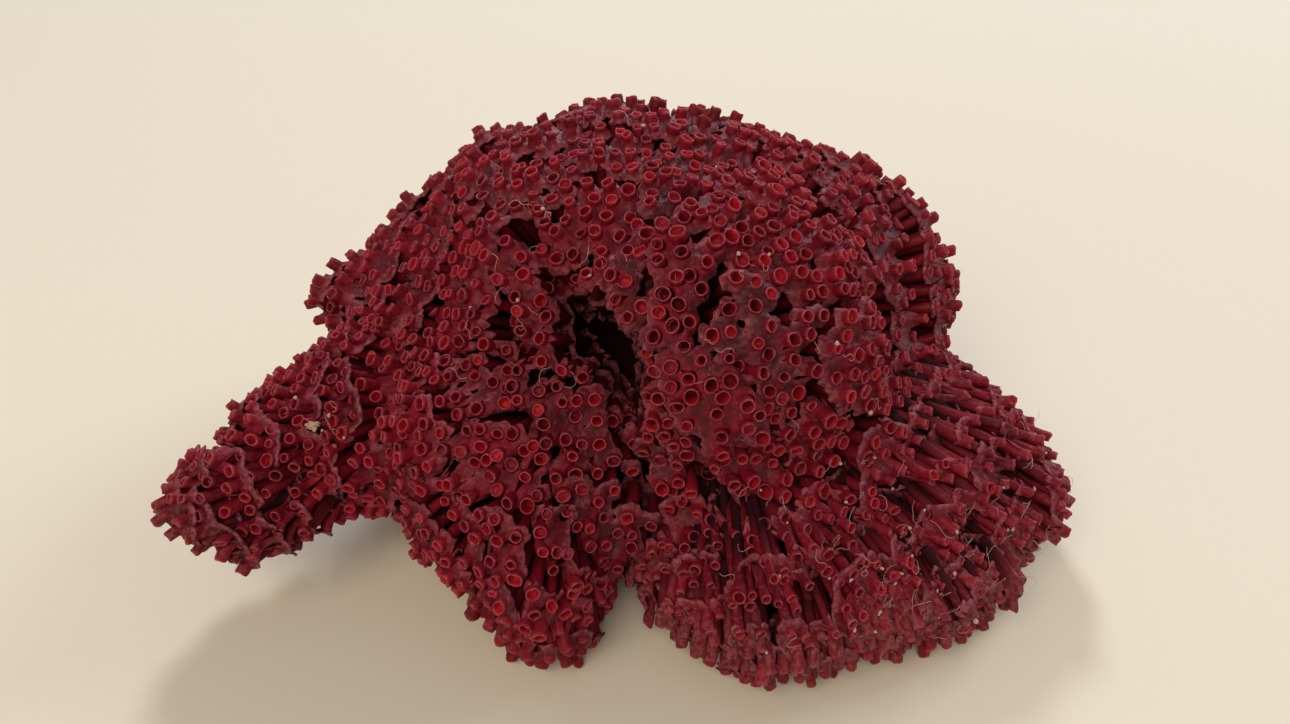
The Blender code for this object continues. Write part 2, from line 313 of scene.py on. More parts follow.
def floor_reach(rays, height=0.0):
    """Where each ray meets the floor, or far away where it doesn't."""
    down = np.minimum(rays[:, 2], -0.001)
    return np.where(rays[:, 2] < 0, (height - GROWTH_CENTRE[2]) / down, 1000)


def across(rays):
    """Two unit vectors square to each ray."""
    first = unit(np.cross(rays, (0.31, 0.52, 0.79)))
    return first, np.cross(rays, first)


def sideways(first, second, turn):
    """The way that lies at one turn round each ray."""
    return first * math.cos(turn) + second * math.sin(turn)


def surface(rays):
    """The tips' level along each ray, cut by the crevices and the floor, with its lobe."""
    reach, lobe = soft_form(rays)
    top = np.minimum(reach - crevice_depth(rays, reach), floor_reach(rays, FLOOR_GAP))
    return top, lobe


def outward(rays):
    """The surface's own normal at each ray."""
    first, second = across(rays)
    step = NORMAL_STEP
    here = rays * soft_form(rays)[0][:, None]
    one = unit(rays + first * step)
    two = unit(rays + second * step)
    normal = np.cross(one * soft_form(one)[0][:, None] - here, two * soft_form(two)[0][:, None] - here)
    normal = unit(normal)
    return normal * np.sign((normal * rays).sum(1))[:, None]


def lowest_near(rays, distance):
    """The lowest surface within the distance of each ray."""
    top, _ = surface(rays)
    first, second = across(rays)
    low = top.copy()
    for k in range(12):
        side = sideways(first, second, 2 * math.pi * k / 12)
        for share in (0.5, 1.0):
            around = unit(rays * top[:, None] + side * distance * share)
            low = np.minimum(low, surface(around)[0])
    return low


def habit(lobe, trait):
    """One trait of the lobes that each tube grows in."""
    return np.array([getattr(HABITS[name], trait) for name in NAMES])[lobe]


def cliff_edge(rays, reach, low, side):
    """How far to the side of each ray the surface has dropped half way down its cliff."""
    near, far = np.zeros(len(rays)), np.full(len(rays), WALL_REACH)
    for _ in range(5):
        middle = (near + far) / 2
        there = soft_form(unit(rays * reach[:, None] + side * middle[:, None]))[0]
        inside = there > (reach + low) / 2
        near, far = np.where(inside, middle, near), np.where(inside, far, middle)
    return far


def cliff_places(rng):
    """Tips that stand out sideways from cliffs: their rays, reaches, lobes and headings."""
    rays = unit(rng.normal(size=(WALL_TRIES, 3)))
    reach, lobe = soft_form(rays)
    first, second = across(rays)
    low, side = reach.copy(), first.copy()
    for k in range(12):
        way = sideways(first, second, 2 * math.pi * k / 12)
        beyond = soft_form(unit(rays * reach[:, None] + way * WALL_REACH))[0]
        lower = beyond < low
        low, side = np.where(lower, beyond, low), np.where(lower[:, None], way, side)
    found = (reach - low > WALL_HEIGHT) & (rng.random(len(rays)) < habit(lobe, "crowd"))
    rays, reach, lobe, low, side = rays[found], reach[found], lobe[found], low[found], side[found]
    far = cliff_edge(rays, reach, low, side)
    level = rng.uniform(low + 0.8, reach - 1.2)
    out = far * level / reach + rng.uniform(0.2, 1.4, len(rays))
    places = rays * level[:, None] + side * out[:, None]
    above = places[:, 2] + GROWTH_CENTRE[2] > 1.6
    heading = unit(rays * 0.6 + side * 0.75)
    return unit(places)[above], np.linalg.norm(places, axis=1)[above], lobe[above], heading[above]


def open_places(rng):
    """Tips over the whole surface, except deep in the crevices: rays, reaches and lobes."""
    around = unit(rng.normal(size=(TUBE_TRIES, 3)))
    along_arm = unit(unit(ARM_ALONG) + rng.normal(0, ARM_SPREAD, (ARM_TRIES, 3)))
    rays = np.concatenate([around, along_arm])
    top, lobe = surface(rays)
    sunk = crevice_depth(rays, top)
    on_ledge = (sunk < LEDGE_DEPTH) & (rng.random(len(rays)) < LEDGE_SHARE)
    grown = (sunk < DARK_DEPTH) | on_ledge
    return rays[grown], top[grown], lobe[grown]


def spaced(rays, top, crowd, pitch):
    """The numbers of the places that stay, each at least its pitch from those before it."""
    taken = np.zeros(0, int)
    for i in range(len(rays)):
        higher = (top[taken] - top[i]) * crowd[i]
        apart = np.linalg.norm(rays[taken] - rays[i], axis=1) * np.minimum(top[taken], top[i])
        if len(taken) == 0 or (apart ** 2 + higher ** 2).min() > pitch[i] ** 2:
            taken = np.append(taken, i)
    return taken


class Tubes:
    """Every tube of the colony: its ray, tip, length, lean, stem, radius, lobe and plate."""

    def __init__(self, rng):
        self.scatter(rng)
        self.group(rng)
        self.set_tips(rng)
        self.set_looks(rng)

    def scatter(self, rng):
        """Places tips over the surface, then on the cliffs, and keeps those that aren't too close."""
        rays, top, lobe = open_places(rng)
        walls = cliff_places(rng)
        on_wall = np.arange(len(rays) + len(walls[0])) >= len(rays)
        heading = np.concatenate([rays, walls[3]])
        rays = np.concatenate([rays, walls[0]])
        top = np.concatenate([top, walls[1]])
        lobe = np.concatenate([lobe, walls[2]])
        low = np.clip((LEDGE_HEIGHT - rays[:, 2] * top - GROWTH_CENTRE[2]) / 5, 0, 1)
        crowd = np.where(on_wall, 1, np.maximum(habit(lobe, "crowd"), 0.9 * low))
        pitch = habit(lobe, "pitch") * rng.uniform(*PITCH_SPREAD, len(rays)) * np.where(on_wall, 1.1, 1)
        taken = spaced(rays, top, crowd, pitch)
        self.rays, self.top, self.lobe, self.wall = rays[taken], top[taken], lobe[taken], on_wall[taken]
        self.floored = self.top >= floor_reach(self.rays, FLOOR_GAP) - 0.01
        source = np.array([HABITS[name].source for name in NAMES])[self.lobe]
        self.stem = unit(self.rays * self.top[:, None] - source)
        self.lean = self.leaning(heading[taken], rng)

    def leaning(self, heading, rng):
        """The way each tube's end points: partly along the surface's normal, and down at the feet."""
        share = np.where(self.floored | self.wall, 0, habit(self.lobe, "lean"))[:, None]
        heading = unit(heading * (1 - share) + outward(self.rays) * share)
        height = self.rays[:, 2] * self.top + GROWTH_CENTRE[2]
        drop = habit(self.lobe, "drop") * np.clip((FOOT_HEIGHT - height) / (0.6 * FOOT_HEIGHT), 0, 1)
        heading = heading * (1 - drop[:, None]) + np.array([0, 0, -1]) * drop[:, None]
        return unit(heading + rng.normal(0, 0.09, heading.shape))

    def group(self, rng):
        """Gathers the tubes into plates round some of them. A plate keeps to one level."""
        places = self.rays * self.top[:, None]
        apart = np.linalg.norm(places[:, None] - places[None], axis=2)
        apart = np.hypot(apart, 1.6 * (self.top[:, None] - self.top[None]))
        apart += 6 * (self.floored[:, None] != self.floored[None])
        seeds = []
        for i in rng.permutation(len(places)):
            if not seeds or apart[i, seeds].min() > PLATE_SPACING:
                seeds.append(i)
        near = apart[:, seeds] * rng.uniform(0.8, 1.25, len(seeds))
        self.plate = near.argmin(1)
        self.seeds = np.array(seeds)
        two = np.sort(near, 1)[:, :2]
        between = two[:, 1] - two[:, 0] < PLATE_GAP
        self.gap = between & (rng.random(len(places)) < habit(self.lobe, "missing"))

    def set_tips(self, rng):
        """Gives each tube its tip, bare end and length: its plate's own height, slant and unevenness."""
        count, plates = len(self.rays), len(self.seeds)
        places = self.rays * self.top[:, None]
        low, high = (habit(self.lobe[self.seeds], side) for side in ("low", "high"))
        height = low + (high - low) * rng.random(plates)
        slant = unit(rng.normal(size=(plates, 3))) * PLATE_TILT
        from_seed = places - places[self.seeds][self.plate]
        offset = height[self.plate] + (from_seed * slant[self.plate]).sum(1)
        offset = np.where(self.wall, 0, offset)
        stands_out = rng.uniform(*STANDS_OUT, plates)[self.plate]
        jitter = np.clip(rng.normal(0, TIP_JITTER, count), -1.0, 1.3)
        floor = floor_reach(self.rays, FLOOR_GAP)
        self.tip = np.minimum(self.top + offset + jitter, floor - 0.1)
        self.tip = np.where(self.floored, floor - rng.uniform(0.1, 1.3, count), self.tip)
        self.bare = np.maximum(stands_out + jitter, 0.7)
        low = lowest_near(self.rays, 5.0)
        self.length = np.maximum(SHORTEST_TUBE, self.tip - low + 4.0)
        self.length = np.minimum(self.length, self.tip - np.maximum(6.5, 0.42 * self.tip))

    def set_looks(self, rng):
        """Gives each tube its radius, tone, mouth and web."""
        count, plates = len(self.rays), len(self.seeds)
        self.radius = habit(self.lobe, "radius") * np.clip(rng.normal(1, 0.09, count), 0.75, 1.25)
        self.tone = rng.normal(0, 1, count)
        self.tilt = rng.normal(0, 0.1, count) + np.where(rng.random(count) < 0.06, 0.35, 0)
        shallow = rng.random(count) < SHALLOW_SHARE
        self.cup = np.where(shallow, rng.uniform(*SHALLOW_CUP, count), rng.uniform(*DEEP_CUP, count))
        self.web = habit(self.lobe, "web") * rng.uniform(0.6, 1.25, count)
        self.web = self.web * rng.uniform(0.8, 1.4, plates)[self.plate]

    def axis(self, chosen, depth):
        """Points on the tubes' axes below their tips: leaning near the tip, then along the stem."""
        stem, lean = self.stem[chosen], self.lean[chosen]
        turned = np.clip(depth / TURN_LENGTH, 0, 1)[:, None]
        mean = lean * (1 - turned / 2) + stem * turned / 2
        beyond = np.maximum(depth - TURN_LENGTH, 0)[:, None]
        tip = self.rays[chosen] * self.tip[chosen, None]
        return tip - mean * np.minimum(depth, TURN_LENGTH)[:, None] - stem * beyond

    def heading(self, chosen, depth):
        """Which way the tubes run at a depth below their tips."""
        turned = np.clip(depth / TURN_LENGTH, 0, 1)[:, None]
        return unit(self.lean[chosen] * (1 - turned) + self.stem[chosen] * turned)


def tube_rings(radius, length, cup):
    """Each ring's depth below the tip (which also sets its painted shade), its radius, and its shares of
    rim colour (pale, with a painted highlight) and of the mouth's painted glow.
    """
    inner = radius - TUBE_WALL
    ones = np.ones(len(radius))
    return [
        (length, radius * 0.9, 0, 0),
        (length * 0.55, radius * 0.95, 0, 0),
        (ones * 1.6, radius * 1.0, 0, 0),
        (ones * 0.55, radius * 0.99, 0, 0),
        (ones * 0.14, radius * 0.96, 0.45, 0),
        (ones * 0.0, radius - TUBE_WALL * 0.6, 1.0, 0),
        (ones * 0.14, inner, 0.35, 0.6),
        (ones * 0.6, inner * 0.97, 0, 1),
        (cup, inner * 0.88, 0, 1),
        (cup + 0.12, inner * 0.35, 0, 1),
    ]


def tube_faces(count, rings):
    """Quads from ring to ring of each tube, and a lid over its last ring."""
    grid = np.arange(count * rings * TUBE_SIDES).reshape(count, rings, TUBE_SIDES)
    after = np.roll(grid, -1, 2)
    quads = [np.stack([grid[:, :-1], after[:, :-1], after[:, 1:], grid[:, 1:]], -1).reshape(-1, 4)]
    lid = grid[:, -1]
    for k in range(TUBE_SIDES // 2 - 1):
        quads.append(np.stack([lid[:, k], lid[:, k + 1], lid[:, -2 - k], lid[:, -1 - k]], 1))
    return np.concatenate(quads)


def tube_mesh(tubes, chosen, rng):
    """Rings from each tube's root, up its wall, over its rim and down to the floor of its mouth."""
    count = len(chosen)
    rings = tube_rings(tubes.radius[chosen], tubes.length[chosen], tubes.cup[chosen])
    turn = np.linspace(0, 2 * math.pi, TUBE_SIDES, endpoint=False)[None]
    turn = turn + rng.uniform(0, 6.28, (count, 1))
    wave = rng.uniform(0, 6.28, (count, 1))
    oval = 1 + 0.06 * np.cos(2 * turn + wave)
    ragged = 0.08 * np.sin(3 * turn + 2 * wave) + tubes.tilt[chosen, None] * np.cos(turn + wave)
    points, marks = [], {"rim": [], "mouth": [], "deep": []}
    for depth, wide, rim, mouth in rings:
        heading = tubes.heading(chosen, depth)
        first, second = across(heading)
        side = first[:, None] * np.cos(turn)[..., None] + second[:, None] * np.sin(turn)[..., None]
        knobs = 1 + rng.normal(0, 0.022, (count, TUBE_SIDES))
        raised = ragged * np.clip(1 - depth / 6, 0, 1)[:, None]
        centre = tubes.axis(chosen, depth)[:, None] + heading[:, None] * raised[..., None]
        points.append(centre + side * (wide[:, None] * oval * knobs)[..., None])
        # The deep mark is painted shade, darker down each tube and into its mouth.
        for key, share in (("rim", rim), ("mouth", mouth), ("deep", depth[:, None])):
            marks[key].append(np.broadcast_to(share, (count, TUBE_SIDES)))
    marks = {key: np.stack(values, 1).reshape(-1) for key, values in marks.items()}
    marks["tone"] = np.repeat(tubes.tone[chosen], len(rings) * TUBE_SIDES)
    return np.stack(points, 1).reshape(-1, 3), tube_faces(count, len(rings)), marks


class Platform:
    """A thin sheet on one tier of a plate: it webs the tubes together and flares up each of them."""

    def __init__(self, rays, levels, radii, webs, flare, phase):
        self.rays, self.levels, self.radii, self.webs = rays, levels, radii, webs
        self.flare, self.phase = flare, phase
        self.centre = unit(rays.mean(0))
        self.size = levels.mean()
        first, second = across(self.centre[None])
        self.first, self.second = first[0], second[0]

    def spots(self):
        """The tubes' places on the flat of the sheet."""
        flat = self.rays / (self.rays @ self.centre)[:, None] * self.size
        return np.stack([flat @ self.first, flat @ self.second], 1)

    def rays_at(self, flat):
        """The rays through places on the flat of the sheet."""
        return unit(self.centre * self.size + flat[:, :1] * self.first + flat[:, 1:] * self.second)

    def apart(self, rays):
        """How far each ray passes from each tube's axis."""
        return np.linalg.norm(rays[:, None] - self.rays[None], axis=2) * self.levels[None]

    def edge(self, flat):
        """Negative on the sheet and positive off it and inside the tubes, and the outer edge alone."""
        apart = self.apart(self.rays_at(flat))
        soft = 0.42
        past = apart - self.radii - self.webs
        outer = -soft * np.log(np.exp(-past / soft).sum(1) + 1e-12)
        u, v = flat.T
        ragged = 0.16 * np.sin(2.9 * u + 1.7 * v + self.phase)
        ragged += 0.14 * np.sin(3.7 * v - 2.2 * u + 2 * self.phase)
        outer += ragged
        hole = (0.86 * self.radii - apart).max(1)
        return np.maximum(outer, hole), outer

    def level(self, rays, outer):
        """How far out the sheet lies on each ray, and how much of that is its climb up a tube."""
        apart = self.apart(rays)
        share = 1 / (apart ** 2 + 0.7) ** 2
        flat = (share * self.levels).sum(1) / share.sum(1)
        climb = (self.flare * np.exp(-np.maximum(apart - self.radii, 0) / 0.5)).max(1)
        droop = 0.45 * np.exp(np.minimum(outer, 0) / 0.45)
        return flat + climb - droop, climb

    def lattice(self, step):
        """Points on a triangular lattice over the sheet, and the triangles between them."""
        spots = self.spots()
        reach = (self.radii + self.webs).max() + step
        low, high = spots.min(0) - reach, spots.max(0) + reach
        rows = np.arange(low[1], high[1] + step, step * 0.866)
        columns = np.arange(low[0], high[0] + step, step)
        u, v = np.meshgrid(columns, rows)
        u = u + (np.arange(len(rows)) % 2)[:, None] * step / 2
        number = np.arange(u.size).reshape(u.shape)
        corners = []
        for odd in (0, 1):
            a, b = number[odd:-1:2, :-1], number[odd:-1:2, 1:]
            c, d = number[odd + 1::2, :-1], number[odd + 1::2, 1:]
            height = min(len(a), len(c))
            a, b, c, d = a[:height], b[:height], c[:height], d[:height]
            pairs = ((a, b, c), (b, d, c)) if odd == 0 else ((a, b, d), (a, d, c))
            corners += [np.stack(p, -1).reshape(-1, 3) for p in pairs]
        return np.stack([u.ravel(), v.ravel()], 1), np.concatenate(corners)

    def mesh(self, step):
        """The sheet's points, faces and marks, or nothing where no part of the lattice lies on it."""
        flat, triangles = self.lattice(step)
        middle = flat[triangles].mean(1)
        triangles = triangles[self.edge(middle)[0] < 0]
        if len(triangles) == 0:
            return None
        used, triangles = np.unique(triangles, return_inverse=True)
        triangles = triangles.reshape(-1, 3)
        flat = flat[used]
        sides = np.concatenate([triangles[:, [0, 1]], triangles[:, [1, 2]], triangles[:, [2, 0]]])
        key = np.sort(sides, 1)
        _, where, times = np.unique(key, axis=0, return_index=True, return_counts=True)
        border = sides[where[times == 1]]
        self.settle(flat, np.unique(border), step)
        return self.thicken(flat, triangles, border)

    def settle(self, flat, border, step):
        """Moves the border's points onto the sheet's true edge."""
        tiny = 0.02
        for _ in range(3):
            here = flat[border]
            value = self.edge(here)[0]
            du = (self.edge(here + (tiny, 0))[0] - value) / tiny
            dv = (self.edge(here + (0, tiny))[0] - value) / tiny
            slope = np.stack([du, dv], 1)
            move = -value[:, None] * slope / np.maximum((slope ** 2).sum(1), 0.15)[:, None]
            size = np.linalg.norm(move, axis=1, keepdims=True)
            flat[border] = here + move * np.minimum(1, 0.45 * step / np.maximum(size, 1e-9))

    def thicken(self, flat, triangles, border):
        """Lifts the flat sheet to its level and gives it an underside and a rim."""
        rays = self.rays_at(flat)
        _, outer = self.edge(flat)
        level, climb = self.level(rays, outer)
        top = rays * level[:, None]
        bottom = rays * (level - SHEET_THICKNESS)[:, None]
        count = len(flat)
        a, b = border.T
        rim_one = np.stack([b, a, a + count], 1)
        rim_two = np.stack([b, a + count, b + count], 1)
        faces = np.concatenate([triangles, triangles[:, ::-1] + count, rim_one, rim_two])
        # The rim mark pales the sheet's edge: a paler edge colour and a painted highlight.
        rim = np.exp(-np.abs(outer) / 0.16)
        sheet = np.clip(1 - climb / 0.9, 0, 1)
        marks = {
            "rim": np.concatenate([rim, rim]) * 0.8,
            "sheet": np.concatenate([sheet, sheet]),
        }
        return np.concatenate([top, bottom]), faces, marks


def platform_at(tubes, here, depth, tier, phase, step, rng):
    """One plate's sheet on one tier, in a list, which is empty where the sheet has no area."""
    places = tubes.axis(here, depth)
    levels = np.linalg.norm(places, axis=1)
    flare = np.clip(depth * 0.62, *TOP_FLARE) if tier == 0 else np.full(len(here), LOWER_FLARE)
    webs = tubes.web[here] * (1.0 if tier == 0 else rng.uniform(0.75, 1.15))
    radii = tubes.radius[here] * 0.95
    made = Platform(unit(places), levels, radii, webs, flare, phase).mesh(step)
    if made is None:
        return []
    points, faces, marks = made
    # Painted shade: each tier down is marked deeper, so its colour is darker.
    marks["deep"] = np.full(len(points), tier * TIER + 1.5)
    marks["tone"] = np.full(len(points), math.sin(5 * phase))
    return [(points, faces, marks)]


def platform_meshes(tubes, plates, first_tier, end_tier, step, rng):
    """The sheets of some plates, from one tier below the tips down to before another."""
    found = []
    for plate in plates:
        members = np.flatnonzero((tubes.plate == plate) & ~tubes.gap)
        phases = rng.uniform(0, 6.28, 8)
        for tier in range(first_tier, end_tier):
            uneven = 0.6 * math.sin(phases[tier]) if tier else 0
            depth = tubes.bare[members] + tier * TIER + uneven
            on = depth < tubes.length[members] - 0.8
            here, depth = members[on], depth[on]
            if len(here) >= (1 if tier == 0 else FEWEST_BELOW):
                found += platform_at(tubes, here, depth, tier, phases[tier], step, rng)
    return found


def joined(parts):
    """One set of points, faces and marks from several."""
    points, faces, marks, base = [], [], {}, 0
    for these, corners, values in parts:
        points.append(these)
        faces.append(corners + base)
        base += len(these)
        for key, value in values.items():
            marks.setdefault(key, []).append(value)
    marks = {key: np.concatenate(values) for key, values in marks.items()}
    return np.concatenate(points), np.concatenate(faces), marks


def add_mesh(name, points, faces, marks, material):
    """A smooth mesh object from arrays, moved to the frame's origin and kept off the floor."""
    points = points + GROWTH_CENTRE + SHIFT
    points[:, 2] = np.maximum(points[:, 2], FLOOR_GAP)
    data = bpy.data.meshes.new(name)
    size = faces.shape[1]
    data.vertices.add(len(points))
    data.vertices.foreach_set("co", (points * MM).astype(np.float32).ravel())
    data.loops.add(faces.size)
    data.loops.foreach_set("vertex_index", faces.astype(np.int32).ravel())
    data.polygons.add(len(faces))
    data.polygons.foreach_set("loop_start", np.arange(0, faces.size, size, dtype=np.int32))
    data.update(calc_edges=True)
    for key in ("rim", "mouth", "deep", "tone", "sheet", "dust"):
        values = marks.get(key, np.zeros(len(points)))
        layer = data.attributes.new(key, "FLOAT", "POINT")
        layer.data.foreach_set("value", np.asarray(values, np.float32))
    data.validate()
    data.shade_smooth()
    obj = bpy.data.objects.new(name, data)
    bpy.context.scene.collection.objects.link(obj)
    data.materials.append(material)
    return obj


def dust_at(points, name):
    """How dusty each point is: most on the arm's break and along the fan's and apron's ledges."""
    dust = np.full(len(points), HABITS[name].dust)
    place = points + GROWTH_CENTRE
    if name == "left_arm":
        short = ARM_LENGTH - place @ ARM_END
        dust += 0.5 * np.exp(-np.maximum(short, 0) / 3)
    if name in ("right_fan", "front_apron"):
        dust += 0.35 * np.exp(-((place[:, 2] - 9) / 5) ** 2)
    return dust


def add_piece(name, lobe, parts, material):
    """One visible piece made of some parts, which stands for its lobe's solid."""
    points, faces, marks = joined(parts)
    marks["dust"] = dust_at(points, lobe)
    piece = add_mesh(name, points, faces, marks, material)
    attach(piece, "root")
    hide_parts(lobe)


def ball_mesh(subdivisions):
    """A unit ball's points, which are also its rays, and its faces."""
    ball = bmesh.new()
    bmesh.ops.create_icosphere(ball, subdivisions=subdivisions, radius=1)
    rays = unit(np.array([v.co[:] for v in ball.verts]))
    faces = np.array([[v.index for v in f.verts] for f in ball.faces])
    ball.free()
    return rays, faces


def depths_mesh():
    """A shell deep below the tips, dark with painted shade, which closes the view between the tubes."""
    rays, faces = ball_mesh(6)
    low = lowest_near(rays, 5.5) - DEPTH_BELOW_TIPS
    low = np.minimum(low, floor_reach(rays, 2.5))
    low = np.maximum(low, 5.0)
    x, y, z = rays.T
    wobble = 0.5 * np.sin(31 * x + 17 * y) * np.sin(29 * z - 11 * x)
    # Its deep mark gives it the full painted shade.
    return rays * (low + wobble)[:, None], faces, {"deep": np.full(len(rays), 12.0)}


def smooth_blob(ball, centre, radii, rng):
    """A small lump: a rough ball stretched to its radii."""
    rays, faces = ball
    waves = sum(np.sin(rays @ rng.normal(0, 2.4, 3) + rng.uniform(0, 6)) for _ in range(3))
    turned = unit(rng.normal(size=3))
    first, second = across(turned[None])
    axes = np.stack([turned, first[0], second[0]])
    points = centre + ((rays * (1 + 0.13 * waves)[:, None]) * radii) @ axes
    return points, faces, {}


def thread_path(start, heading, up, length, rng):
    """Places along a curled thread that runs over the tips from one place."""
    points = [np.array(start)]
    bend = rng.normal(0, 0.35)
    for _ in range(THREAD_STEPS - 1):
        bend = 0.7 * bend + rng.normal(0, 0.3)
        heading = unit(heading + np.cross(up, heading) * bend + up * rng.normal(0, 0.16))
        points.append(points[-1] + heading * length / THREAD_STEPS)
    return np.array(points)


def thread_mesh(points):
    """A fine five-sided thread along some points, thinner at its ends."""
    steps = len(points)
    along = unit(np.gradient(points, axis=0))
    first, second = across(along)
    turn = 2 * math.pi * np.arange(THREAD_SIDES) / THREAD_SIDES
    thick = THREAD_RADIUS * np.sin(np.linspace(0.35, math.pi - 0.35, steps)) ** 0.4
    cos, sin = np.cos(turn)[None, :, None], np.sin(turn)[None, :, None]
    ring = first[:, None] * cos + second[:, None] * sin
    places = points[:, None] + ring * thick[:, None, None]
    grid = np.arange(steps * THREAD_SIDES).reshape(steps, THREAD_SIDES)
    after = np.roll(grid, -1, 1)
    low = np.stack([grid[:-1], after[:-1], after[1:]], -1).reshape(-1, 3)
    high = np.stack([grid[:-1], after[1:], grid[1:]], -1).reshape(-1, 3)
    ends = [grid[0, [0, 2, 1]], grid[0, [0, 3, 2]], grid[0, [0, 4, 3]]]
    ends += [grid[-1, [0, 1, 2]], grid[-1, [0, 2, 3]], grid[-1, [0, 3, 4]]]
    return places.reshape(-1, 3), np.concatenate([low, high, np.array(ends)]), {}


def caught_debris(tubes, rng):
    """Threads in tangles on the tips, and the crumbs caught with some of them."""
    shown = np.flatnonzero(~tubes.gap & ~tubes.floored & (tubes.tip * tubes.rays[:, 2] > -18))
    tips = tubes.rays[shown] * tubes.tip[shown, None]
    threads, crumbs = [], []
    small = ball_mesh(2)
    for spot, spread, count in TANGLES:
        near = np.linalg.norm(tips + GROWTH_CENTRE - spot, axis=1)
        pool = np.argsort(near)[:spread]
        for k in rng.choice(pool, count, replace=len(pool) < count):
            up = tubes.lean[shown[k]]
            side = unit(np.cross(up, rng.normal(size=3)))
            start = tips[k] + up * 0.12 + side * 0.9
            length = rng.uniform(*THREAD_LENGTH)
            threads.append(thread_mesh(thread_path(start, side, up, length, rng)))
            if rng.random() < CRUMB_SHARE:
                radii = rng.uniform(0.12, 0.34, 3)
                crumbs.append(smooth_blob(small, tips[k] + up * 0.1 - side * 0.85, radii, rng))
    return threads, crumbs


def add_debris(tubes, rng):
    """Pale threads and crumbs caught on the tips, and one paler lump on the arm."""
    threads, crumbs = caught_debris(tubes, rng)
    middle = np.array(PALE_LUMP) - GROWTH_CENTRE
    lump = [smooth_blob(ball_mesh(3), middle + offset, radii, rng) for offset, radii in PALE_BITS]
    fibre = plain_material("fibre", (0.48, 0.32, 0.27), 0.8)
    pale = plain_material("pale lump", (0.40, 0.30, 0.20), 0.8)
    pieces = (("threads", threads, fibre), ("crumbs", crumbs, fibre), ("pale_lump", lump, pale))
    for name, parts, material in pieces:
        piece = add_mesh(name, *joined(parts), material)
        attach(piece, "root")


class Nodes:
    """A short way to write a material's nodes."""

    def __init__(self, material):
        material.use_nodes = True
        self.tree = material.node_tree
        self.shader = self.tree.nodes["Principled BSDF"]

    def add(self, kind, **values):
        """A new node with some of its properties set."""
        node = self.tree.nodes.new(kind)
        for key, value in values.items():
            setattr(node, key, value)
        return node

    def wire(self, source, target):
        """Joins two sockets."""
        self.tree.links.new(source, target)

    def mark(self, name):
        """One of the values that the meshes carry at their points."""
        return self.add("ShaderNodeAttribute", attribute_name=name).outputs["Fac"]

    def noise(self, scale, detail=3.0, roughness=0.55):
        """Noise fixed to the object."""
        place = self.add("ShaderNodeTexCoord").outputs["Object"]
        node = self.add("ShaderNodeTexNoise")
        node.inputs["Scale"].default_value = scale
        node.inputs["Detail"].default_value = detail
        node.inputs["Roughness"].default_value = roughness
        self.wire(place, node.inputs["Vector"])
        return node.outputs["Fac"]

    def sum(self, kind, a, b, clamp=False):
        """One step of arithmetic on sockets or numbers."""
        node = self.add("ShaderNodeMath", operation=kind, use_clamp=clamp)
        for socket, value in zip(node.inputs, (a, b)):
            if isinstance(value, (int, float)):
                socket.default_value = value
            else:
                self.wire(value, socket)
        return node.outputs[0]

    def span(self, value, low, high, to_low=0.0, to_high=1.0):
        """A value moved from one range to another, and held within it."""
        node = self.add("ShaderNodeMapRange", clamp=True)
        self.wire(value, node.inputs["Value"])
        limits = {"From Min": low, "From Max": high, "To Min": to_low, "To Max": to_high}
        for key, number in limits.items():
            node.inputs[key].default_value = number
        return node.outputs["Result"]

    def mix(self, share, a, b, blend="MIX"):
        """A share of one colour over another."""
        node = self.add("ShaderNodeMix", data_type="RGBA", blend_type=blend)
        factor, first, second = node.inputs[0], node.inputs[6], node.inputs[7]
        for socket, value in ((factor, share), (first, a), (second, b)):
            if isinstance(value, (int, float)):
                socket.default_value = value
            elif isinstance(value, tuple):
                socket.default_value = (*value, 1)
            else:
                self.wire(value, socket)
        return node.outputs[2]


def coral_colour(nodes, coarse, fine, deep):
    """Crimson: duller on platforms, lighter on rims (paler colour and a painted highlight), a painted
    glow in some mouths, darker in depth as painted shade, with dust where marked.
    """
    colour = nodes.mix(nodes.mark("sheet"), TUBE_RED, SHEET_RED)
    patchy = nodes.sum("ADD", nodes.mark("tone"), nodes.sum("MULTIPLY", coarse, 2.0))
    tone = nodes.span(patchy, -1.0, 3.0, 0.62, 1.3)
    shade = nodes.add("ShaderNodeCombineColor")
    for socket in shade.inputs:
        nodes.wire(tone, socket)
    colour = nodes.mix(1.0, colour, shade.outputs[0], "MULTIPLY")
    # Painted glow: some mouths, picked by tone, are bright red as if lit through the walls; others stay
    # darker.
    lit = nodes.span(nodes.mark("tone"), -0.8, 1.2, 0.12, 0.95)
    colour = nodes.mix(nodes.sum("MULTIPLY", nodes.mark("mouth"), lit), colour, MOUTH_PAINTED_GLOW)
    # Painted shade: darker the deeper below the tips, down the tubes, into mouths, on lower tiers and on
    # the depths shell.
    colour = nodes.mix(deep, colour, PAINTED_SHADE_RED)
    # Rims: a paler rim colour and a painted highlight, broken by fine noise.
    rim = nodes.sum("MULTIPLY", nodes.mark("rim"), nodes.span(fine, 0.35, 0.65, 0.1, 0.75))
    colour = nodes.mix(rim, colour, RIM_PINK_AND_HIGHLIGHT)
    dusty = nodes.sum("MULTIPLY", nodes.mark("dust"), 0.42)
    speck = nodes.span(nodes.sum("ADD", fine, dusty), 0.6, 0.85)
    shown = nodes.sum("MULTIPLY", speck, nodes.span(deep, 0.0, 0.6, 0.45, 0.0))
    return nodes.mix(shown, colour, DUST)


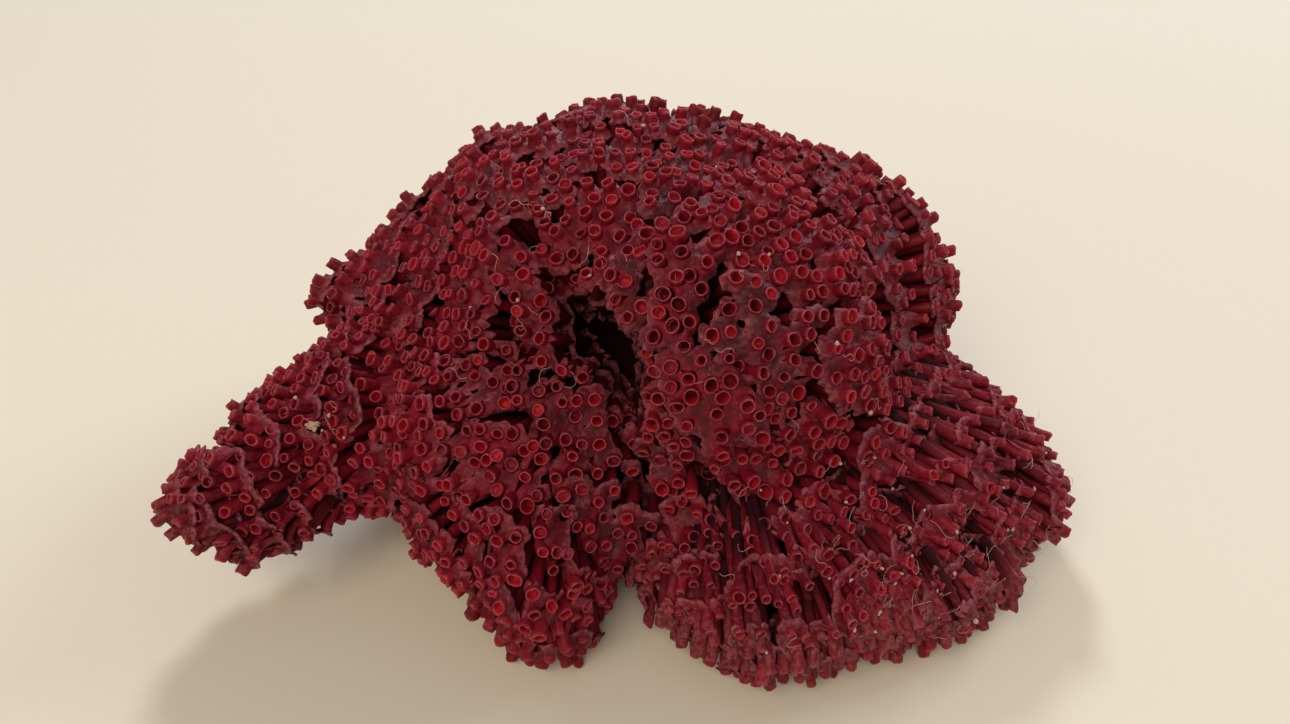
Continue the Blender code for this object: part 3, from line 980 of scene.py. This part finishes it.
def coral_material(name):
    """Chalky and slightly translucent, rougher in depth, with a fine bumpy grain."""
    material = bpy.data.materials.new(name)
    nodes = Nodes(material)
    coarse = nodes.noise(260, 4)
    fine = nodes.noise(1500, 3, 0.6)
    deep = nodes.span(nodes.mark("deep"), 1.8, 9.0, 0.0, 0.95)
    nodes.wire(coral_colour(nodes, coarse, fine, deep), nodes.shader.inputs["Base Color"])
    uneven = nodes.span(coarse, 0.3, 0.7, 0.3, 0.56)
    roughness = nodes.sum("ADD", uneven, nodes.sum("MULTIPLY", deep, 0.4), clamp=True)
    nodes.wire(roughness, nodes.shader.inputs["Roughness"])
    nodes.shader.inputs["Metallic"].default_value = 0.0
    nodes.shader.inputs["Specular IOR Level"].default_value = 0.13
    nodes.shader.inputs["Subsurface Weight"].default_value = 0.18
    nodes.shader.inputs["Subsurface Radius"].default_value = (1.0, 0.12, 0.08)
    nodes.shader.inputs["Subsurface Scale"].default_value = 0.0009
    bump = nodes.add("ShaderNodeBump")
    bump.inputs["Strength"].default_value = 0.7
    bump.inputs["Distance"].default_value = 0.0003
    nodes.wire(nodes.sum("ADD", fine, nodes.sum("MULTIPLY", coarse, 0.8)), bump.inputs["Height"])
    nodes.wire(bump.outputs["Normal"], nodes.shader.inputs["Normal"])
    return material


def plain_material(name, colour, roughness):
    """One colour and one roughness."""
    material = bpy.data.materials.new(name)
    shader = Nodes(material).shader
    shader.inputs["Base Color"].default_value = (*colour, 1)
    shader.inputs["Roughness"].default_value = roughness
    return material


def add_camera():
    """The photo's view: from in front and above."""
    data = bpy.data.cameras.new("camera")
    data.lens = 27.07
    data.sensor_width = 36
    camera = bpy.data.objects.new("camera", data)
    camera.location = (np.array([4.0, -127.0, 115.0]) + SHIFT) * MM
    camera.rotation_euler = (math.radians(53.5), 0, 0)
    bpy.context.scene.collection.objects.link(camera)
    bpy.context.scene.camera = camera


def add_light(name, place, size, power, colour, target=(0, 0, 20)):
    """A rectangular light that faces the coral."""
    data = bpy.data.lights.new(name, "AREA")
    data.shape = "RECTANGLE"
    data.size, data.size_y = size[0] * MM, size[1] * MM
    data.energy = power
    data.color = colour
    light = bpy.data.objects.new(name, data)
    light.location = Vector(place) * MM
    light.rotation_euler = (Vector(target) - Vector(place)).to_track_quat("-Z", "Y").to_euler()
    bpy.context.scene.collection.objects.link(light)


def add_stage():
    """A pale floor, window light from behind and from the right, and a gentle warm fill."""
    bpy.ops.mesh.primitive_plane_add(size=6, location=(0, 0, 0))
    floor = bpy.context.object
    floor.name = "floor"
    floor.data.materials.append(plain_material("floor", (0.76, 0.70, 0.58), 0.8))
    add_light("back window", (-140, 1180, 1080), (320, 240), 11.0, (0.95, 0.97, 1.0))
    add_light("side window", (1000, 560, 720), (620, 440), 7.0, (0.95, 0.97, 1.0))
    add_light("room", (-260, -620, 700), (800, 600), 5.6, (1.0, 0.85, 0.66))
    world = bpy.data.worlds.new("world")
    world.use_nodes = True
    world.node_tree.nodes["Background"].inputs["Color"].default_value = (0.98, 0.96, 1.0, 1)
    world.node_tree.nodes["Background"].inputs["Strength"].default_value = 0.28
    bpy.context.scene.world = world
    bpy.context.scene.view_settings.view_transform = "Standard"


def add_lobe(tubes, number, name, material, rng):
    """One lobe's tubes, the platforms just below their tips, and those further down."""
    chosen = np.flatnonzero((tubes.lobe == number) & ~tubes.gap)
    add_piece(name + "_tubes", name, [tube_mesh(tubes, chosen, rng)], material)
    plates = [p for p, seed in enumerate(tubes.seeds) if tubes.lobe[seed] == number]
    top = platform_meshes(tubes, plates, 0, 1, SHEET_STEP, rng)
    if top:
        add_piece(name + "_platforms", name, top, material)
    lower = platform_meshes(tubes, plates, 1, LOWEST_TIER, LOWER_STEP, rng)
    if lower:
        add_piece(name + "_lower_platforms", name, lower, material)


def main():
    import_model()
    add_camera()
    add_stage()
    rng = np.random.default_rng(SEED)
    tubes = Tubes(rng)
    material = coral_material("coral")
    for number, name in enumerate(NAMES):
        add_lobe(tubes, number, name, material, rng)
    add_piece("depths", "base", [depths_mesh()], material)
    add_debris(tubes, rng)


main()
